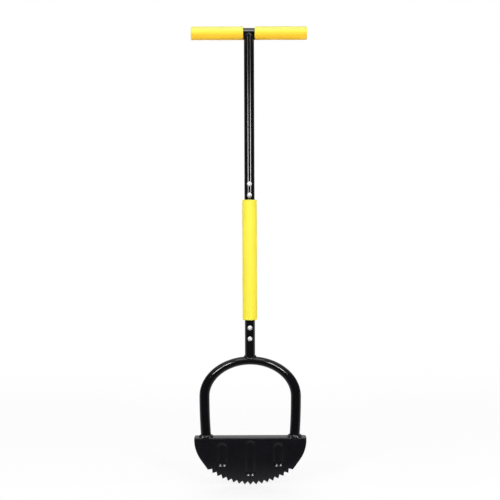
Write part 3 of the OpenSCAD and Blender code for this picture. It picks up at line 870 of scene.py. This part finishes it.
floor_mesh = bpy.data.meshes.new("floor")
corners = np.array([[-1, -1, 0], [1, -1, 0], [1, 1, 0], [-1, 1, 0]]) * FLOOR_SIZE / 2
floor_mesh.from_pydata(corners.tolist(), [], [(0, 1, 2, 3)])
floor = bpy.data.objects.new("floor", floor_mesh)
bpy.context.scene.collection.objects.link(floor)
print("floor", FLOOR_SIZE, "m wide")

# %% White paper
FRONT_DIM = 0.05
BACK_LIGHT = 0.5
FRONT_Y, BACK_Y = -0.25, 0.05
NEAR, FAR = 0.3, 2.0
NEAR_GLOW = 0.75
PAPER, PAPER_SEEN = "#b8b8b8", "#fcfcfc"

paper, tree = new_material("white_paper_floor")
path = add_node(tree, "ShaderNodeLightPath").outputs
place = add_node(tree, "ShaderNodeTexCoord").outputs["Object"]
away = add_node(tree, "ShaderNodeVectorMath", {"operation": "LENGTH"}, links={0: place})
fade = add_node(tree, "ShaderNodeMapRange", SMOOTH,
                {"From Min": NEAR, "From Max": FAR, "To Min": NEAR_GLOW, "To Max": 1.0},
                {"Value": away.outputs["Value"]})
direct = add_node(tree, "ShaderNodeMath", {"operation": "MAXIMUM"},
                  links={0: path["Is Camera Ray"], 1: path["Is Transmission Ray"]})
lit = add_node(tree, "ShaderNodeMath", {"operation": "MULTIPLY"},
               links={0: direct.outputs[0], 1: fade.outputs["Result"]})
amount = add_node(tree, "ShaderNodeMath", {"operation": "MAXIMUM"},
                  links={0: lit.outputs[0], 1: path["Is Glossy Ray"]})
depth = add_node(tree, "ShaderNodeSeparateXYZ", links={"Vector": place})
behind = add_node(tree, "ShaderNodeMapRange", SMOOTH,
                  {"From Min": FRONT_Y, "From Max": BACK_Y,
                   "To Min": FRONT_DIM, "To Max": BACK_LIGHT},
                  {"Value": depth.outputs["Y"]})
bright = add_node(tree, "ShaderNodeMix", NUMBERS, {"A": 1.0},
                  {"Factor": path["Is Glossy Ray"], "B": behind.outputs["Result"]})
shown = add_node(tree, "ShaderNodeMix", COLOURS,
                 {"A": linear(PAPER), "B": linear(PAPER_SEEN)}, {"Factor": direct.outputs[0]})
matt = add_node(tree, "ShaderNodeBsdfDiffuse", links={"Color": shown.outputs["Result"]})
glow = add_node(tree, "ShaderNodeEmission", links={"Strength": bright.outputs["Result"]})
mixed = add_node(tree, "ShaderNodeMixShader",
                 links={0: amount.outputs[0], 1: matt.outputs["BSDF"], 2: glow.outputs["Emission"]})
add_node(tree, "ShaderNodeOutputMaterial", links={"Surface": mixed.outputs["Shader"]})
floor_mesh.materials.append(paper)
print("made", paper.name)

# %% [markdown]
# The room is the world around the scene. A picture of a studio could fill it, but three smooth
# steps are enough. Seen by the camera it is white. Seen in the gloss it is the lit backdrop and the
# ceiling. As light it is weak in front and stronger behind the tool.

# %% Room
FILL = 0.12
BACK_FILL = 0.95
BACKDROP = {"From Min": 0.3, "From Max": 0.95, "To Min": FRONT_DIM, "To Max": BACK_LIGHT}
CEILING = {"From Min": 0.4, "From Max": 0.9, "To Min": FRONT_DIM, "To Max": BACK_LIGHT}
FILL_LIGHT = {"From Min": -0.2, "From Max": 0.7, "To Min": FILL, "To Max": BACK_FILL}

room = bpy.data.worlds.new("white_room")
room.use_nodes = True
tree = room.node_tree
tree.nodes.clear()
path = add_node(tree, "ShaderNodeLightPath").outputs
towards = add_node(tree, "ShaderNodeTexCoord").outputs["Generated"]
parts = add_node(tree, "ShaderNodeSeparateXYZ", links={"Vector": towards}).outputs
backdrop = add_node(tree, "ShaderNodeMapRange", SMOOTH, BACKDROP, {"Value": parts["Y"]})
overhead = add_node(tree, "ShaderNodeMapRange", SMOOTH, CEILING, {"Value": parts["Z"]})
mirrored = add_node(tree, "ShaderNodeMath", {"operation": "MAXIMUM"},
                    links={0: backdrop.outputs["Result"], 1: overhead.outputs["Result"]})
fill = add_node(tree, "ShaderNodeMapRange", SMOOTH, FILL_LIGHT, {"Value": parts["Y"]})
mirror = add_node(tree, "ShaderNodeMix", NUMBERS,
                  links={"Factor": path["Is Glossy Ray"], "A": fill.outputs["Result"],
                         "B": mirrored.outputs[0]})
direct = add_node(tree, "ShaderNodeMath", {"operation": "MAXIMUM"},
                  links={0: path["Is Camera Ray"], 1: path["Is Transmission Ray"]})
strength = add_node(tree, "ShaderNodeMix", NUMBERS, {"B": 1.0},
                    {"Factor": direct.outputs[0], "A": mirror.outputs["Result"]})
sky = add_node(tree, "ShaderNodeBackground", values={"Color": linear("#ffffff")},
               links={"Strength": strength.outputs["Result"]})
add_node(tree, "ShaderNodeOutputWorld", links={"Surface": sky.outputs["Background"]})
bpy.context.scene.world = room
print("room fill", FILL, "in front and", BACK_FILL, "behind")

# %% [markdown]
# Two upright softboxes stand in front, 30 degrees to the left and 27.5 degrees to the right of the
# camera. Each draws one thin line of light down the tubes. In the photograph these lines fade
# upwards, so each softbox glows fully only at its foot. A small card above each one shows in
# reflections alone and draws the lines along the arch. A third card, close above the cross tube,
# draws the band of light on it. A weak softbox overhead lights the tops of the grips. The other
# lamps stand low in front, behind and at both sides. They only soften the shadows, and the gloss
# doesn't show them.

# %% Softbox
DIM_SHARE = 0.1


def softbox(name, at, aim, width, height, watts, mirrored=True, lights=True, fade=None):
    """Area lamp that faces a point: its local -Z axis is turned from its place to that point.

    Fade gives two shares of the lamp's height: below the first it glows fully, and above the
    second dimly.
    """
    light = bpy.data.lights.new(name, "AREA")
    light.shape = "RECTANGLE"
    light.size = width
    light.size_y = height
    light.energy = watts
    if fade:
        light.use_nodes = True
        tree = light.node_tree
        tree.nodes.clear()
        spot = add_node(tree, "ShaderNodeNewGeometry").outputs["Parametric"]
        part = add_node(tree, "ShaderNodeSeparateXYZ", links={"Vector": spot})
        glow = add_node(tree, "ShaderNodeMapRange", SMOOTH,
                        {"From Min": fade[0], "From Max": fade[1],
                         "To Min": 1.0, "To Max": DIM_SHARE},
                        {"Value": part.outputs["Y"]})
        lit = add_node(tree, "ShaderNodeEmission", links={"Strength": glow.outputs["Result"]})
        add_node(tree, "ShaderNodeOutputLight", links={"Surface": lit.outputs["Emission"]})
    lamp = bpy.data.objects.new(name, light)
    lamp.location = at
    lamp.rotation_euler = (Vector(aim) - Vector(at)).to_track_quat("-Z", "Y").to_euler()
    lamp.visible_camera = False
    lamp.visible_glossy = mirrored
    lamp.visible_diffuse = lights
    bpy.context.scene.collection.objects.link(lamp)
    print(name, watts, "W")


# %% Lamps
STAND = 1.8
STRIP, STRIP_Z, STRIP_FADE = (0.32, 1.4), 1.39, (0.14, 0.42)
CARD, CARD_Z, CARD_AIM, CARD_NEARER = (0.3, 0.55), 1.62, (0.0, 0.0, 0.3), 0.99
SIDE_FILL = (0.8, 1.2)
MID_HEIGHT = (0.0, 0.0, 0.5)

for name, degrees, watts, card_watts in (("left", -30, 38.0, 14.0), ("right", 27.5, 37.0, 11.0)):
    swing = math.radians(degrees)
    x, y = STAND * math.sin(swing), -STAND * math.cos(swing)
    softbox(name + "_softbox", (x, y, STRIP_Z), (0.0, 0.0, STRIP_Z), *STRIP, watts,
            fade=STRIP_FADE)
    softbox(name + "_card", (x * CARD_NEARER, y * CARD_NEARER, CARD_Z), CARD_AIM, *CARD,
            card_watts, lights=False)
softbox("top_softbox", (0.0, -0.15, 2.3), (0.0, 0.0, 0.9), 1.3, 1.0, 8.0)
softbox("bar_card", (0.0, -0.24, 1.24), (0.0, 0.0, 0.983), 0.07, 0.08, 0.24, lights=False)
softbox("low_fill", (0.0, -1.5, 0.2), (0.0, 0.0, 0.4), 0.8, 0.4, 2.0, mirrored=False)
softbox("back_fill", (0.0, 1.9, 0.9), (0.0, 0.0, 0.6), 1.2, 1.2, 9.0, mirrored=False)
softbox("right_fill", (1.8, -0.3, 0.5), MID_HEIGHT, *SIDE_FILL, 11.0, mirrored=False)
softbox("left_fill", (-1.8, -0.3, 0.5), MID_HEIGHT, *SIDE_FILL, 9.0, mirrored=False)

# %% [markdown]
# Last, the scene is brought up to date. The dressed tool should keep the CAD box to within a
# fraction of a millimetre, the height of the foam's waves.

bpy.context.view_layer.update()
